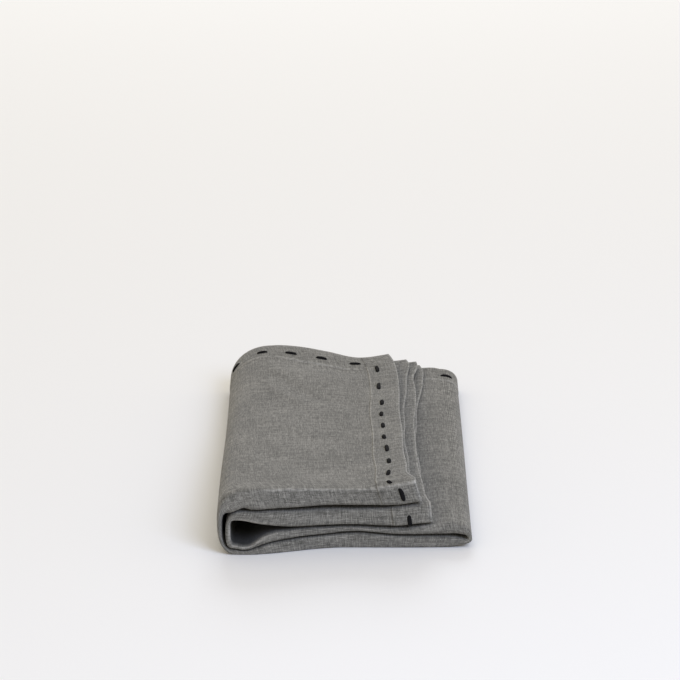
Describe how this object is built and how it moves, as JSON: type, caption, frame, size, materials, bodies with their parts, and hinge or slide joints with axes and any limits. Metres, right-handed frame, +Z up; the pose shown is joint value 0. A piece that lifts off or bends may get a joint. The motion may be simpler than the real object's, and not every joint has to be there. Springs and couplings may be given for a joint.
{
  "type": "folded cloth napkin",
  "caption": "Square linen table napkin with a wide turned hem, folded in half and then back and forth into a flat oblong stack with rounded folds.",
  "frame": {"origin": "centre of the bounding box on the plane that the lowest level lies on", "axes": "+Y from the half fold at the front towards the open hems behind, +X from the walled side towards the hemmed ends of the strip, +Z up through the stack"},
  "size_m": [0.1328, 0.2634, 0.0376],
  "materials": {
    "linen": "matte plain-weave linen, warm grey with pale slubs",
    "thread": "matte thick black sewing thread"
  },
  "bodies": {
    "root": {"napkin": "linen"}
  },
  "joints": []
}
